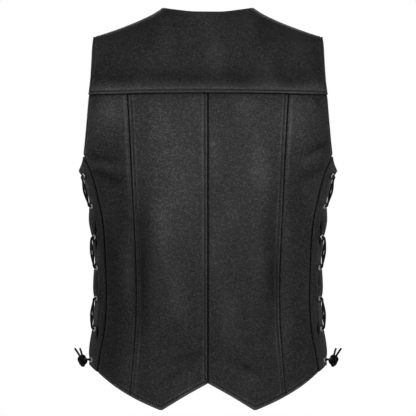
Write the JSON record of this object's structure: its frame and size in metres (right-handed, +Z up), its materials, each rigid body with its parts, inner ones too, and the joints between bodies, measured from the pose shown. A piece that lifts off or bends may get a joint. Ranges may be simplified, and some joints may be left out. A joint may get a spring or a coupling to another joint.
{
  "type": "leather vest with laced sides",
  "caption": "Hip-length black leather vest with a back yoke, seamed back panels, sides closed by crossed lacing through eyelets, snap front and a pointed hem.",
  "frame": {"origin": "midway between the two points where the shoulder seams meet the neckline, at the height where the vest hangs on the wearer's shoulders", "axes": "+Z up along the wearer's spine, fronts face -Y, back faces +Y, the wearer's left is +X"},
  "size_m": [0.4542, 0.2302, 0.6826],
  "materials": {
    "leather": "black satin full-grain cowhide, finely grained, slightly oiled",
    "lace": "round black leather lace, matt",
    "eyelet": "nickel-plated, warm tint, lightly brushed",
    "snap": "black-nickel plated, satin"
  },
  "bodies": {
    "root": {"back_yoke": "leather", "back_centre_left": "leather", "back_side_left": "leather", "strip_back_left": "leather", "front_left": "leather", "strip_front_left": "leather", "lace_left": "lace", "knot_left": "lace", "lace_end_outer_left": "lace", "lace_end_inner_left": "lace", "eyelet_back_left_1": "eyelet", "eyelet_back_left_2": "eyelet", "eyelet_back_left_3": "eyelet", "eyelet_back_left_4": "eyelet", "eyelet_back_left_5": "eyelet", "eyelet_back_left_6": "eyelet", "eyelet_back_left_7": "eyelet", "eyelet_front_left_1": "eyelet", "eyelet_front_left_2": "eyelet", "eyelet_front_left_3": "eyelet", "eyelet_front_left_4": "eyelet", "eyelet_front_left_5": "eyelet", "eyelet_front_left_6": "eyelet", "eyelet_front_left_7": "eyelet", "back_centre_right": "leather", "back_side_right": "leather", "strip_back_right": "leather", "front_right": "leather", "strip_front_right": "leather", "lace_right": "lace", "knot_right": "lace", "lace_end_outer_right": "lace", "lace_end_inner_right": "lace", "eyelet_back_right_1": "eyelet", "eyelet_back_right_2": "eyelet", "eyelet_back_right_3": "eyelet", "eyelet_back_right_4": "eyelet", "eyelet_back_right_5": "eyelet", "eyelet_back_right_6": "eyelet", "eyelet_back_right_7": "eyelet", "eyelet_front_right_1": "eyelet", "eyelet_front_right_2": "eyelet", "eyelet_front_right_3": "eyelet", "eyelet_front_right_4": "eyelet", "eyelet_front_right_5": "eyelet", "eyelet_front_right_6": "eyelet", "eyelet_front_right_7": "eyelet", "snap_cap_1": "snap", "snap_back_1": "snap", "snap_cap_2": "snap", "snap_back_2": "snap", "snap_cap_3": "snap", "snap_back_3": "snap", "snap_cap_4": "snap", "snap_back_4": "snap"}
  },
  "joints": []
}
